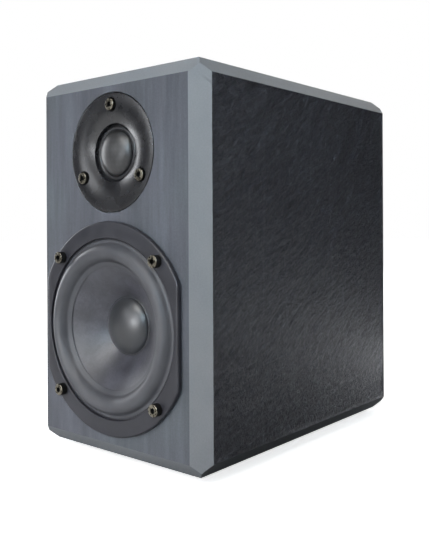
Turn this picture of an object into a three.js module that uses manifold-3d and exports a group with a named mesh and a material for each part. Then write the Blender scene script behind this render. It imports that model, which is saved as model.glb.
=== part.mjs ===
// A two-way bookshelf loudspeaker in a chamfered slate cabinet.
//
// Millimetres. +X is the speaker's right seen from the listener, +Y runs from the front baffle to the
// rear panel and +Z is up. The model is built with y = 0 on the baffle's front face and z = 0 on the
// shelf. The whole group is then shifted along Y so that the origin is under the middle of its box.
import * as THREE from "three";
import { ConvexGeometry } from "three/addons/geometries/ConvexGeometry.js";
import { mergeVertices } from "three/addons/utils/BufferGeometryUtils.js";
import Module from "manifold-3d";

const wasm = await Module();
wasm.setup();

// ---------------------------------------------------------------- driving dimensions

const SEAT_GAP = 0.05; // left between faces that rest on each other
const RUNNING = 0.4; // left round what passes through a hole
const GLUE_LINE = 0.2; // between a round tube and what is glued round it
const FINE = 32; // facets round the large turned pieces
const MEDIUM = 24;
const SMALL = 16;
const TINY = 10;

const cabinet = { width: 138, height: 225, depth: 212, chamfer: 9 };
const slab = { thickness: 12, glue: 0.15 };
const foot = { radius: 7, height: 2.5, inset: 20 };

// Woofer, from the listener's side inwards. Depths are measured from the baffle's front face.
const woofer = {
  axisHeight: 75.8, // above the cabinet's underside
  rim: 61.8,
  flat: 55, // from the axis to each of the rim's two cut sides
  rimEdge: 0.5,
  proud: 3.2,
  gasket: 0.6,
  recess: 52.1, // radius of the recess that holds the surround's flange
  ledgeDepth: 1.8, // of that recess, below the rim's face
  mouth: 47.6, // radius inside the basket's wall
  wall: 2.2,
  shoulder: 9.5, // depth where the basket starts to narrow
  spiderLedge: 26,
  spiderRadius: 34,
  ledgeWidth: 3,
  rearFace: 31.9,
  rearHole: 17,
  rearPlate: 2,
  screwEdge: 5.3, // from the rim to the screws' circle
  windows: 4,
  windowWidth: 43.8,
  windowFront: 3,
  webBehind: 2.5, // metal left behind each window
};
const cone = { radius: 36.9, skin: 0.9, rimDepth: -0.3, slope: 0.735, flare: 0.9 };
const surround = { roll: 4.6, skin: 0.7, flange: 2.6, lip: 1.5, hinge: 0.4, clearance: 1.1 };
const coil = { radius: 12.55, former: 0.35, wire: 0.45, length: 12, clearance: 0.35 };
const dustCap = { radius: 17, height: 6.4, skin: 0.8 };
const spider = { skin: 0.6, wave: 1.1, waves: 2, collar: 1.5, clearance: 0.3 };
const motor = { radius: 35, plate: 5, magnetRadius: 36, magnetBore: 17, magnet: 14, back: 5, vent: 4 };

const tag = { width: 22, thickness: 2, pitch: 14, blade: 2.8, reach: 6 }; // solder tags behind each driver

// Tweeter
const tweeter = {
  plate: 34.4,
  plateThickness: 4,
  plateEdge: 0.4,
  proud: 0.1,
  rebateGap: 0.6,
  gapToWoofer: 5.3, // between the two drivers' rims
  flare: 28.5, // radius where the face starts to dip
  throat: 17.2,
  throatDepth: 2.8,
  seatDepth: 5.4, // where the motor meets the plate's boss
  boss: 20.8,
  screwEdge: 6.6,
  counterbore: 4.3,
  counterboreDepth: 2.7,
};
const dome = { radius: 13.3, rimDepth: 4.9, height: 5.6, skin: 0.5 };
const domeRoll = { width: 3, height: 1.1, skin: 0.4, flange: 2.4 };
const domeCoil = { former: 0.3, wire: 0.35, clearance: 0.35 };
const domeMotor = { radius: 20.5, plate: 3, magnetBore: 15.8, magnet: 6, back: 3.5 };

// M4 socket cap screws hold both drivers.
const capScrew = { shank: 1.95, head: 3.5, headHeight: 4, edge: 0.35, key: 1.5, keyDepth: 2, point: 0.5 };
const screwLength = { woofer: 13, tweeter: 10 };

// Rear
const port = {
  heightFromTop: 60,
  bore: 16.5,
  wall: 2,
  mouth: 24,
  mouthDepth: 8.5,
  flange: 32,
  flangeThickness: 2.5,
  length: 105,
};
const terminal = {
  height: 62, // of the posts above the cabinet's underside
  width: 80,
  tall: 46,
  corner: 4,
  thickness: 3,
  border: 7, // of the plate that rests on the slate
  spacing: 19.05, // the standard pitch of twin banana plugs
  screwInset: 5,
};
const plateScrew = { shank: 1.3, head: 2.7, headHeight: 1.8, slot: 0.5, length: 10 };
const post = { shank: 3, plugBore: 2.05, plugDepth: 14, collar: 6.2, collarHeight: 2, inside: 14 };
const nut = { radius: 5.6, height: 4.5 };
const clampWasher = { radius: 7, thickness: 1.2 };
const knob = { radius: 8, length: 15, skirt: 2.4, ribs: 10, rib: 0.55, mouth: 4.6, mouthDepth: 3.5 };

// Crossover, on the bottom panel inside
const board = { width: 88, depth: 96, thickness: 2, fromRear: 12 };
const wooferChoke = { radius: 22, bore: 10, height: 20 };
const tweeterChoke = { radius: 15, bore: 6, height: 14 };
const largeCapacitor = { radius: 9, length: 40 };
const smallCapacitor = { radius: 7, length: 30 };
const resistor = { width: 10, height: 10, length: 44 };
const wool = { thickness: 15, width: 118, height: 150, edge: 12 };

// ---------------------------------------------------------------- derived places

const floorZ = foot.height;
const cabinetTop = floorZ + cabinet.height;
const midZ = floorZ + cabinet.height / 2;
const innerHalfWidth = cabinet.width / 2 - slab.thickness;
const insideFloor = floorZ + slab.thickness;
const insideTop = cabinetTop - slab.thickness;
const rearInside = cabinet.depth - slab.thickness;
const wooferZ = floorZ + woofer.axisHeight;
const tweeterZ = wooferZ + woofer.rim + tweeter.gapToWoofer + tweeter.plate;
const portZ = cabinetTop - port.heightFromTop;
const postZ = floorZ + terminal.height;

const rimFace = -woofer.proud;
const rimBack = -woofer.gasket - SEAT_GAP;
const basketRadius = woofer.mouth + woofer.wall;
const wooferHole = basketRadius + RUNNING + 0.3;
const wooferScrewCircle = woofer.rim - woofer.screwEdge;
const tweeterScrewCircle = tweeter.plate - tweeter.screwEdge;
const ledgeFace = rimFace + woofer.ledgeDepth;
const magnetFront = woofer.rearFace + SEAT_GAP + motor.plate + SEAT_GAP;
const magnetBack = magnetFront + motor.magnet;
const backFront = magnetBack + SEAT_GAP;
const formerOuter = coil.radius + coil.former;
const coneNeck = formerOuter + GLUE_LINE;
const gapRadius = formerOuter + coil.wire + coil.clearance; // bore of the woofer's top plate
const poleRadius = coil.radius - coil.clearance;
const formerFront = cone.rimDepth + (cone.radius - formerOuter) * cone.slope;
const coilMiddle = woofer.rearFace + SEAT_GAP + motor.plate / 2;
const formerBack = coilMiddle + coil.length / 2;
const rebateDepth = tweeter.plateThickness - tweeter.proud + SEAT_GAP;
const knobBack = cabinet.depth + terminal.thickness + post.collarHeight + clampWasher.thickness + knob.length
  + 4 * SEAT_GAP;
const frontMost = rimFace - SEAT_GAP - capScrew.headHeight;
const originY = (frontMost + knobBack) / 2;

// ---------------------------------------------------------------- solids

// A piece turned about the Y axis from a profile of [radius, depth] points, in either sense.
function turned(profile, facets = FINE) {
  const area = profile.reduce((sum, [r, y], i) => {
    const [nextR, nextY] = profile[(i + 1) % profile.length];
    return sum + r * nextY - nextR * y;
  }, 0);
  const points = area > 0 ? [...profile] : [...profile].reverse();
  const onAxis = points.findIndex(([r], i) => r === 0 && points[(i + 1) % points.length][0] !== 0);
  const ordered = onAxis < 0
    ? [...points, points[0]]
    : [...points.slice(onAxis), ...points.slice(0, onAxis)];
  return new THREE.LatheGeometry(ordered.map(([r, y]) => new THREE.Vector2(r, y)), facets);
}

// A straight bar or hole along Y, from one depth to another.
function rod(radius, from, to, facets = SMALL) {
  return new THREE.CylinderGeometry(radius, radius, to - from, facets).translate(0, (from + to) / 2, 0);
}

function block(x0, x1, y0, y1, z0, z1) {
  return new THREE.BoxGeometry(x1 - x0, y1 - y0, z1 - z0)
    .translate((x0 + x1) / 2, (y0 + y1) / 2, (z0 + z1) / 2);
}

// A flat outline in X and Z, given thickness along Y.
function plateOf(outline, from, to, curveSegments = 4) {
  return new THREE.ExtrudeGeometry(outline, { depth: to - from, bevelEnabled: false, curveSegments })
    .rotateX(Math.PI / 2)
    .translate(0, to, 0);
}

function roundedOutline(width, tall, corner) {
  const x = width / 2;
  const z = tall / 2;
  const outline = new THREE.Shape();
  outline.moveTo(-x + corner, -z);
  outline.lineTo(x - corner, -z);
  outline.absarc(x - corner, -z + corner, corner, -Math.PI / 2, 0);
  outline.lineTo(x, z - corner);
  outline.absarc(x - corner, z - corner, corner, 0, Math.PI / 2);
  outline.lineTo(-x + corner, z);
  outline.absarc(-x + corner, z - corner, corner, Math.PI / 2, Math.PI);
  outline.lineTo(-x, -z + corner);
  outline.absarc(-x + corner, -z + corner, corner, Math.PI, Math.PI * 1.5);
  return outline;
}

function solidOf(geometry) {
  const bare = new THREE.BufferGeometry().setAttribute("position", geometry.getAttribute("position").clone());
  if (geometry.index) bare.setIndex(geometry.index.clone());
  const merged = mergeVertices(bare, 1e-4);
  const corners = merged.index.array;
  const faces = [];
  for (let i = 0; i < corners.length; i += 3) {
    const [a, b, c] = [corners[i], corners[i + 1], corners[i + 2]];
    if (a !== b && b !== c && c !== a) faces.push(a, b, c);
  }
  const mesh = new wasm.Mesh({
    numProp: 3,
    vertProperties: new Float32Array(merged.attributes.position.array),
    triVerts: new Uint32Array(faces),
  });
  return new wasm.Manifold(mesh);
}

function geometryOf(solid) {
  const mesh = solid.getMesh();
  const positions = new Float32Array(mesh.vertProperties);
  return new THREE.BufferGeometry()
    .setAttribute("position", new THREE.BufferAttribute(positions, 3))
    .setIndex(new THREE.BufferAttribute(new Uint32Array(mesh.triVerts), 1))
    .toNonIndexed();
}

function cut(geometry, ...tools) {
  return geometryOf(tools.reduce((solid, tool) => solid.subtract(solidOf(tool)), solidOf(geometry)));
}

function joined(...geometries) {
  return geometryOf(geometries.map(solidOf).reduce((solid, other) => solid.add(other)));
}

function kept(geometry, within) {
  return geometryOf(solidOf(geometry).intersect(solidOf(within)));
}

// Points of an arc-like bump between two radii, used for rolls, waves and domes.
function bump(fromRadius, toRadius, depth, rise, count) {
  return Array.from({ length: count + 1 }, (_, i) => {
    const t = i / count;
    return [fromRadius + (toRadius - fromRadius) * t, depth - rise * Math.sin(Math.PI * t)];
  });
}

// A skin of even depthwise thickness under a front line of [radius, depth] points.
function skinUnder(front, thickness) {
  return [...front, ...[...front].reverse().map(([r, y]) => [r, y + thickness])];
}

// Places on a circle in the XZ plane, from an angle above +X, evenly spaced.
function around(radius, count, startDegrees) {
  return Array.from({ length: count }, (_, i) => {
    const angle = THREE.MathUtils.degToRad(startDegrees + (360 / count) * i);
    return [radius * Math.cos(angle), radius * Math.sin(angle)];
  });
}

// ---------------------------------------------------------------- the assembly

const speaker = new THREE.Group();
speaker.position.y = -originY;

const finish = (color, roughness, metalness = 0) =>
  new THREE.MeshStandardMaterial({ color, roughness, metalness });
const finishes = {
  honedSlate: finish(0x62656f, 0.6),
  cleftSlate: finish(0x303137, 0.7),
  paintedMetal: finish(0x4a4a4f, 0.45),
  coneSkin: finish(0x63636c, 0.4),
  capSkin: finish(0x5c6064, 0.4),
  rubber: finish(0x606268, 0.5),
  domeCloth: finish(0x3c3c40, 0.35),
  bronzeSteel: finish(0x6b6554, 0.4, 0.8),
  zincSteel: finish(0x9a9c9e, 0.35, 0.9),
  ferrite: finish(0x2c2b2b, 0.7),
  copper: finish(0xb06a3c, 0.35, 0.8),
  kraft: finish(0x8a7350, 0.8),
  brass: finish(0xc8a24a, 0.25, 1),
  redPlastic: finish(0x9c1c1c, 0.35),
  blackPlastic: finish(0x1d1d1f, 0.45),
  circuitBoard: finish(0x2c4a33, 0.6),
  filmCase: finish(0xb8923a, 0.5),
  ceramic: finish(0xd8d6ce, 0.8),
  wool: finish(0xd6d4cd, 1),
  softRubber: finish(0x232325, 0.8),
};

function piece(name, geometry, material, x = 0, y = 0, z = 0) {
  const mesh = new THREE.Mesh(geometry, material);
  mesh.name = name;
  mesh.position.set(x, y, z);
  speaker.add(mesh);
  return mesh;
}

// ---- cabinet: six slabs, mitred together, with a chamfer ground along all twelve edges

// place turns [across, along, inwards] from the middle of a face into x, y, z.
function mitredSlab(across, along, place) {
  const sunk = (cabinet.chamfer - slab.glue) / 2;
  const rings = [
    [0, cabinet.chamfer],
    [sunk, cabinet.chamfer - sunk],
    [slab.thickness, slab.thickness + slab.glue],
  ];
  const points = rings.flatMap(([inwards, inset]) => {
    const [u, v] = [across / 2 - inset, along / 2 - inset];
    return [[-u, -v], [u, -v], [u, v], [-u, v]].map((corner) => place(...corner, inwards));
  });
  return new ConvexGeometry(points.map((point) => new THREE.Vector3(...point)));
}

function frontBaffle() {
  const { width, height } = cabinet;
  const panel = mitredSlab(width, height, (u, v, inwards) => [u, inwards, midZ + v]);
  const through = slab.thickness + 1;
  const rebate = tweeter.plate + tweeter.rebateGap;
  const holes = [
    rod(wooferHole, -1, through, FINE).translate(0, 0, wooferZ),
    rod(rebate, -1, rebateDepth, FINE).translate(0, 0, tweeterZ),
    rod(tweeter.boss + RUNNING, -1, through, MEDIUM).translate(0, 0, tweeterZ),
    ...around(wooferScrewCircle, 4, 45).map(([x, z]) =>
      rod(capScrew.shank + RUNNING / 2, -1, through, TINY).translate(x, 0, wooferZ + z)),
    ...around(tweeterScrewCircle, 3, 90).map(([x, z]) =>
      rod(capScrew.shank + RUNNING / 2, -1, through, TINY).translate(x, 0, tweeterZ + z)),
  ];
  return cut(panel, ...holes);
}

function rearPanel() {
  const { width, height, depth } = cabinet;
  const panel = mitredSlab(width, height, (u, v, inwards) => [u, depth - inwards, midZ + v]);
  const [from, to] = [rearInside - 1, depth + 1];
  const cutWidth = terminal.width / 2 - terminal.border;
  const cutTall = terminal.tall / 2 - terminal.border;
  return cut(
    panel,
    rod(port.mouth + port.wall + RUNNING, from, to, MEDIUM).translate(0, 0, portZ),
    block(-cutWidth, cutWidth, from, to, postZ - cutTall, postZ + cutTall),
    ...plateScrewPlaces().map(([x, z]) => rod(plateScrew.shank + 0.2, from, to, TINY).translate(x, 0, z)),
  );
}

function plateScrewPlaces() {
  const x = terminal.width / 2 - terminal.screwInset;
  const z = terminal.tall / 2 - terminal.screwInset;
  return [[-x, z], [x, z], [-x, -z], [x, -z]].map(([px, pz]) => [px, postZ + pz]);
}

const { width, height, depth } = cabinet;
piece("front_baffle", frontBaffle(), finishes.honedSlate);
piece("rear_panel", rearPanel(), finishes.honedSlate);
for (const [name, side] of [["left_side_panel", -1], ["right_side_panel", 1]]) {
  const place = (u, v, inwards) => [side * (width / 2 - inwards), depth / 2 + u, midZ + v];
  piece(name, mitredSlab(depth, height, place), finishes.cleftSlate);
}
const lid = mitredSlab(width, depth, (u, v, inwards) => [u, depth / 2 + v, cabinetTop - inwards]);
const base = mitredSlab(width, depth, (u, v, inwards) => [u, depth / 2 + v, floorZ + inwards]);
piece("top_panel", lid, finishes.cleftSlate);
piece("bottom_panel", base, finishes.honedSlate);

for (const [end, y] of [["front", foot.inset], ["rear", depth - foot.inset]])
  for (const [side, x] of [["left", foot.inset - width / 2], ["right", width / 2 - foot.inset]]) {
    const top = floorZ - SEAT_GAP;
    const pad = new THREE.CylinderGeometry(foot.radius, foot.radius - 0.8, top, SMALL)
      .rotateX(Math.PI / 2)
      .translate(0, 0, top / 2);
    piece(`foot_${end}_${side}`, pad, finishes.softRubber, x, y);
  }

// ---- fasteners

function capScrewSolid(length) {
  const { shank, head, headHeight, edge, key, keyDepth, point } = capScrew;
  const body = turned([
    [0, length],
    [shank - point, length],
    [shank, length - point],
    [shank, 0],
    [head, 0],
    [head, edge - headHeight],
    [head - edge, -headHeight],
    [0, -headHeight],
  ], TINY);
  const hexRadius = key / Math.cos(Math.PI / 6);
  return cut(body, rod(hexRadius, -headHeight - 1, keyDepth - headHeight, 6));
}

function plateScrewSolid() {
  const { shank, head, headHeight, slot, length } = plateScrew;
  const body = turned([
    [0, -length],
    [shank, -length + 1.5],
    [shank, 0],
    [head, 0],
    [head, headHeight * 0.45],
    [head * 0.72, headHeight * 0.85],
    [0, headHeight],
  ], TINY);
  const slotAcross = block(-head * 0.62, head * 0.62, headHeight * 0.45, headHeight + 1, -slot / 2, slot / 2);
  return cut(body, slotAcross, slotAcross.clone().rotateY(Math.PI / 2));
}

around(wooferScrewCircle, 4, 45).forEach(([x, z], i) => {
  const screw = capScrewSolid(screwLength.woofer);
  piece(`woofer_screw_${i + 1}`, screw, finishes.bronzeSteel, x, rimFace - SEAT_GAP, wooferZ + z);
});
around(tweeterScrewCircle, 3, 90).forEach(([x, z], i) => {
  const screw = capScrewSolid(screwLength.tweeter);
  const seat = tweeter.counterboreDepth - tweeter.proud - SEAT_GAP;
  piece(`tweeter_screw_${i + 1}`, screw, finishes.bronzeSteel, x, seat, tweeterZ + z);
});
plateScrewPlaces().forEach(([x, z], i) => {
  const seat = depth + terminal.thickness + 2 * SEAT_GAP;
  piece(`terminal_plate_screw_${i + 1}`, plateScrewSolid(), finishes.zincSteel, x, seat, z);
});

// ---- woofer

function rimOutline(from, to, geometry) {
  const { flat, rim } = woofer;
  return kept(geometry, block(-flat, flat, from, to, -rim - 1, rim + 1));
}

function screwHoles(circle, count, start, from, to, radius) {
  return around(circle, count, start).map(([x, z]) => rod(radius, from, to, TINY).translate(x, 0, z));
}

function wooferFrame() {
  const w = woofer;
  const waist = w.spiderRadius + w.wall;
  const narrows = w.spiderLedge - 1.5;
  const profile = [
    [w.rim - w.rimEdge, rimFace],
    [w.rim, rimFace + w.rimEdge],
    [w.rim, rimBack],
    [basketRadius, rimBack],
    [basketRadius, w.shoulder],
    [waist, narrows],
    [waist, w.rearFace],
    [w.rearHole, w.rearFace],
    [w.rearHole, w.rearFace - w.rearPlate],
    [w.spiderRadius - w.ledgeWidth, w.rearFace - w.rearPlate],
    [w.spiderRadius - w.ledgeWidth, w.spiderLedge],
    [w.spiderRadius, w.spiderLedge],
    [w.spiderRadius, narrows - 0.6],
    [w.mouth, w.shoulder - 0.6],
    [w.mouth, ledgeFace],
    [w.recess, ledgeFace],
    [w.recess, rimFace],
  ];
  const half = w.windowWidth / 2;
  const inside = w.spiderRadius - 2 * w.ledgeWidth;
  const windows = Array.from({ length: w.windows }, (_, i) =>
    block(-half, half, w.windowFront, narrows - w.webBehind, inside, basketRadius + 2)
      .rotateY((Math.PI * 2 * i) / w.windows));
  const basket = cut(
    turned(profile),
    ...windows,
    ...screwHoles(wooferScrewCircle, 4, 45, rimFace - 1, 1, capScrew.shank + RUNNING),
  );
  return rimOutline(rimFace - 1, w.rearFace + 1, basket);
}

function wooferGasket() {
  const ring = turned([
    [woofer.rim - 1, -SEAT_GAP],
    [wooferHole, -SEAT_GAP],
    [wooferHole, -woofer.gasket],
    [woofer.rim - 1, -woofer.gasket],
  ]);
  const holes = screwHoles(wooferScrewCircle, 4, 45, -2, 1, capScrew.shank + RUNNING);
  return kept(cut(ring, ...holes), block(1 - woofer.flat, woofer.flat - 1, -2, 1, -woofer.rim, woofer.rim));
}

// Half-roll between the cone's rim and the recess in the frame.
function wooferSurround() {
  const inner = cone.radius - surround.lip;
  const outer = woofer.recess - surround.clearance;
  const rollStart = cone.radius + surround.hinge;
  const rollEnd = outer - surround.flange;
  const flangeDepth = ledgeFace - SEAT_GAP - surround.skin;
  const lipDepth = cone.rimDepth - SEAT_GAP - surround.skin;
  const roll = bump(rollStart, rollEnd, 0, surround.roll, 6).map(([r, rise]) => {
    const t = (r - rollStart) / (rollEnd - rollStart);
    return [r, lipDepth + (flangeDepth - lipDepth) * t + rise];
  });
  return turned(skinUnder([[inner, lipDepth], ...roll, [outer, flangeDepth]], surround.skin));
}

// The cone's front line: nearly straight, a little deeper in the middle.
function coneDepthAt(radius) {
  const t = (radius - coneNeck) / (cone.radius - coneNeck);
  return cone.rimDepth + (cone.radius - radius) * cone.slope - cone.flare * Math.sin(Math.PI * t);
}

function coneSolid(count = 5) {
  const front = Array.from({ length: count + 1 }, (_, i) => {
    const radius = coneNeck + (cone.radius - coneNeck) * (i / count);
    return [radius, coneDepthAt(radius)];
  });
  return turned(skinUnder(front, cone.skin));
}

function dustCapSolid() {
  const seat = coneDepthAt(dustCap.radius) - SEAT_GAP - dustCap.skin;
  const count = 6;
  const front = Array.from({ length: count + 1 }, (_, i) => {
    const angle = (Math.PI / 2) * (i / count);
    return [dustCap.radius * Math.sin(angle), seat - dustCap.height * Math.cos(angle) ** 1.3];
  });
  return turned(skinUnder(front, dustCap.skin), MEDIUM);
}

// Corrugated disc that centres the coil, from its former to the ledge in the basket.
function spiderSolid() {
  const outer = woofer.spiderRadius - spider.clearance;
  const flangeDepth = woofer.spiderLedge - SEAT_GAP - spider.skin;
  const waveStart = coneNeck + spider.collar;
  const waveEnd = woofer.spiderRadius - woofer.ledgeWidth;
  const pointsPerWave = 4;
  const count = spider.waves * pointsPerWave;
  const waves = Array.from({ length: count + 1 }, (_, i) => {
    const r = waveStart + ((waveEnd - waveStart) * i) / count;
    return [r, flangeDepth - spider.wave * Math.sin((Math.PI * 2 * i) / pointsPerWave)];
  });
  return turned(skinUnder([[coneNeck, flangeDepth], ...waves, [outer, flangeDepth]], spider.skin), MEDIUM);
}

function yokeSolid(backRadius, backDepth, backThickness, pole, poleFront, vent) {
  const outline = [
    [backRadius, backDepth],
    [backRadius, backDepth + backThickness],
    [vent, backDepth + backThickness],
    [vent, poleFront],
    [pole, poleFront],
    [pole, backDepth],
  ];
  return turned(outline, MEDIUM);
}

function ring(outer, inner, from, to, facets = MEDIUM) {
  return turned([[outer, from], [outer, to], [inner, to], [inner, from]], facets);
}

const windingInner = formerOuter + SEAT_GAP;
const formerSolid = ring(formerOuter, coil.radius, formerFront, formerBack);
const windingSolid = ring(windingInner + coil.wire, windingInner, formerBack - coil.length, formerBack - 0.5);
const topPlateFront = woofer.rearFace + SEAT_GAP;
piece("woofer_frame", wooferFrame(), finishes.paintedMetal, 0, 0, wooferZ);
piece("woofer_gasket", wooferGasket(), finishes.softRubber, 0, 0, wooferZ);
piece("woofer_surround", wooferSurround(), finishes.rubber, 0, 0, wooferZ);
piece("woofer_cone", coneSolid(), finishes.coneSkin, 0, 0, wooferZ);
piece("woofer_dust_cap", dustCapSolid(), finishes.capSkin, 0, 0, wooferZ);
piece("woofer_coil_former", formerSolid, finishes.kraft, 0, 0, wooferZ);
piece("woofer_coil_winding", windingSolid, finishes.copper, 0, 0, wooferZ);
piece("woofer_spider", spiderSolid(), finishes.kraft, 0, 0, wooferZ);
piece("woofer_top_plate", ring(motor.radius, gapRadius, topPlateFront, topPlateFront + motor.plate),
  finishes.zincSteel, 0, 0, wooferZ);
piece("woofer_magnet", ring(motor.magnetRadius, motor.magnetBore, magnetFront, magnetBack), finishes.ferrite,
  0, 0, wooferZ);
piece("woofer_yoke",
  yokeSolid(motor.radius, backFront, motor.back, poleRadius, topPlateFront, motor.vent),
  finishes.zincSteel, 0, 0, wooferZ);

// Two solder tags on an insulating strip, fixed below a motor and pointing to the rear.
function tagStrip(radius, from, to) {
  const { width: across, thickness, pitch, reach } = tag;
  const top = -radius - RUNNING;
  const strip = block(-across / 2, across / 2, from, to, top - thickness, top);
  const half = tag.blade / 2;
  const blade = block(-half, half, from + 1, to + reach, top - thickness * 0.7, top - thickness * 0.3);
  const tags = [-pitch / 2, pitch / 2].map((x) => blade.clone().translate(x, 0, 0));
  return joined(strip, ...tags);
}
const wooferTags = tagStrip(woofer.spiderRadius + woofer.wall, woofer.spiderLedge, woofer.rearFace - 0.4);
piece("woofer_tag_strip", wooferTags, finishes.brass, 0, 0, wooferZ);

// ---- tweeter

function tweeterFaceplate() {
  const t = tweeter;
  const face = -t.proud;
  const back = face + t.plateThickness;
  const count = 6;
  const dip = Array.from({ length: count + 1 }, (_, i) => {
    const inwards = i / count;
    const r = t.flare - (t.flare - t.throat) * inwards;
    return [r, face + (t.throatDepth - face) * inwards ** 1.8];
  });
  const plate = turned([
    ...dip,
    [t.throat, t.seatDepth],
    [t.boss, t.seatDepth],
    [t.boss, back],
    [t.plate, back],
    [t.plate, face + t.plateEdge],
    [t.plate - t.plateEdge, face],
  ]);
  return cut(
    plate,
    ...screwHoles(tweeterScrewCircle, 3, 90, -2, back + 1, capScrew.shank + RUNNING / 2),
    ...screwHoles(tweeterScrewCircle, 3, 90, -2, face + t.counterboreDepth, t.counterbore),
  );
}

// The dome's rim sits inside a narrow roll, whose flange is clamped behind the faceplate.
function domeSurround() {
  const start = dome.radius + 0.1;
  const end = start + domeRoll.width;
  const flangeDepth = tweeter.seatDepth + SEAT_GAP;
  const fall = (flangeDepth - dome.rimDepth) / (end - start);
  const roll = bump(start, end, 0, domeRoll.height, 4)
    .map(([r, rise]) => [r, dome.rimDepth + fall * (r - start) + rise]);
  return turned(skinUnder([...roll, [end + domeRoll.flange, flangeDepth]], domeRoll.skin), MEDIUM);
}

function domeSolid() {
  const count = 5;
  const front = Array.from({ length: count + 1 }, (_, i) => {
    const angle = (Math.PI / 2) * (i / count);
    return [dome.radius * Math.sin(angle), dome.rimDepth - dome.height * Math.cos(angle) ** 1.15];
  });
  return turned(skinUnder(front, dome.skin), MEDIUM);
}

const domeFormerOuter = dome.radius - 0.1;
const domeWire = domeFormerOuter + SEAT_GAP + domeCoil.wire;
const domePlateFront = tweeter.seatDepth + domeRoll.skin + 2 * SEAT_GAP;
const domeMagnetFront = domePlateFront + domeMotor.plate + SEAT_GAP;
const domeBackFront = domeMagnetFront + domeMotor.magnet + SEAT_GAP;
const domeFormerFront = dome.rimDepth + dome.skin + SEAT_GAP;
const domePole = domeFormerOuter - domeCoil.former - domeCoil.clearance;
const domeCoilSolid = turned([
  [domeFormerOuter, domeFormerFront],
  [domeFormerOuter, domePlateFront + 0.3],
  [domeWire, domePlateFront + 0.3],
  [domeWire, domePlateFront + domeMotor.plate],
  [domeFormerOuter - domeCoil.former, domePlateFront + domeMotor.plate],
  [domeFormerOuter - domeCoil.former, domeFormerFront],
], MEDIUM);

piece("tweeter_faceplate", tweeterFaceplate(), finishes.paintedMetal, 0, 0, tweeterZ);
piece("tweeter_surround", domeSurround(), finishes.rubber, 0, 0, tweeterZ);
piece("tweeter_dome", domeSolid(), finishes.domeCloth, 0, 0, tweeterZ);
piece("tweeter_voice_coil", domeCoilSolid, finishes.copper, 0, 0, tweeterZ);
piece("tweeter_top_plate",
  ring(domeMotor.radius, domeWire + domeCoil.clearance, domePlateFront, domePlateFront + domeMotor.plate),
  finishes.zincSteel, 0, 0, tweeterZ);
piece("tweeter_magnet",
  ring(domeMotor.radius - 1, domeMotor.magnetBore, domeMagnetFront, domeMagnetFront + domeMotor.magnet),
  finishes.zincSteel, 0, 0, tweeterZ);
piece("tweeter_yoke",
  yokeSolid(domeMotor.radius, domeBackFront, domeMotor.back, domePole, domePlateFront, 2),
  finishes.zincSteel, 0, 0, tweeterZ);

const tweeterTags = tagStrip(domeMotor.radius, slab.thickness + 1, slab.thickness + 5);
piece("tweeter_tag_strip", tweeterTags, finishes.brass, 0, 0, tweeterZ);

// ---- reflex port, with a flared mouth in the rear panel

function portTube() {
  const p = port;
  const outside = depth + SEAT_GAP + p.flangeThickness;
  const lip = depth + SEAT_GAP;
  const count = 4;
  const flare = (extra) => Array.from({ length: count + 1 }, (_, i) => {
    const angle = (Math.PI / 2) * (i / count);
    return [
      p.mouth + extra - (p.mouth - p.bore) * Math.sin(angle),
      outside - p.mouthDepth * (1 - Math.cos(angle)),
    ];
  });
  const innerEnd = outside - p.length;
  const outer = flare(p.wall).filter(([, y]) => y < lip - 0.3).reverse();
  return turned([
    ...flare(0),
    [p.bore, innerEnd],
    [p.bore + p.wall, innerEnd],
    ...outer,
    [p.mouth + p.wall, lip],
    [p.flange, lip],
    [p.flange, outside - 0.8],
    [p.flange - 0.8, outside],
  ], MEDIUM);
}
piece("port_tube", portTube(), finishes.blackPlastic, 0, 0, portZ);

// ---- terminal plate, posts and knobs

function terminalPlate() {
  const outline = roundedOutline(terminal.width, terminal.tall, terminal.corner);
  const from = depth + SEAT_GAP;
  const to = from + terminal.thickness;
  const holes = [-1, 1].map((side) =>
    rod(post.shank + RUNNING, from - 1, to + 1, SMALL).translate((side * terminal.spacing) / 2, 0, 0));
  const screws = plateScrewPlaces().map(([x, z]) =>
    rod(plateScrew.shank + RUNNING, from - 1, to + 1, TINY).translate(x, 0, z - postZ));
  return cut(plateOf(outline, from, to), ...holes, ...screws);
}

const plateOutside = depth + SEAT_GAP + terminal.thickness;
const collarFront = plateOutside + SEAT_GAP;
const washerFront = collarFront + post.collarHeight + SEAT_GAP;
const knobFront = washerFront + clampWasher.thickness + SEAT_GAP;
const postEnd = knobFront + knob.length - 0.6;

function bindingPost() {
  const inside = plateOutside - terminal.thickness - post.inside;
  return turned([
    [0, inside],
    [post.shank, inside],
    [post.shank, collarFront],
    [post.collar, collarFront],
    [post.collar, collarFront + post.collarHeight],
    [post.shank, collarFront + post.collarHeight],
    [post.shank, postEnd],
    [post.plugBore, postEnd],
    [post.plugBore, postEnd - post.plugDepth],
    [0, postEnd - post.plugDepth],
  ], SMALL);
}

piece("terminal_plate", terminalPlate(), finishes.blackPlastic, 0, 0, postZ);

// A ribbed cap over a threaded sleeve; the plug goes in through its open outer end.
function terminalKnob() {
  const bore = post.shank + RUNNING / 2;
  const end = knobFront + knob.length;
  const body = turned([
    [knob.radius - knob.rib, knobFront],
    [knob.radius - knob.rib, end - 1],
    [knob.radius - knob.rib - 1, end],
    [knob.mouth, end],
    [bore, end - knob.mouthDepth],
    [bore, knobFront],
  ], SMALL);
  const ribs = around(knob.radius - knob.rib, knob.ribs, 0).map(([x, z]) =>
    rod(knob.rib * 1.6, knobFront + knob.skirt / 2, end - 1.5, 6).translate(x, 0, z));
  const skirt = ring(knob.radius, knob.radius - 2, knobFront, knobFront + knob.skirt, SMALL);
  return joined(body, skirt, ...ribs);
}

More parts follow.
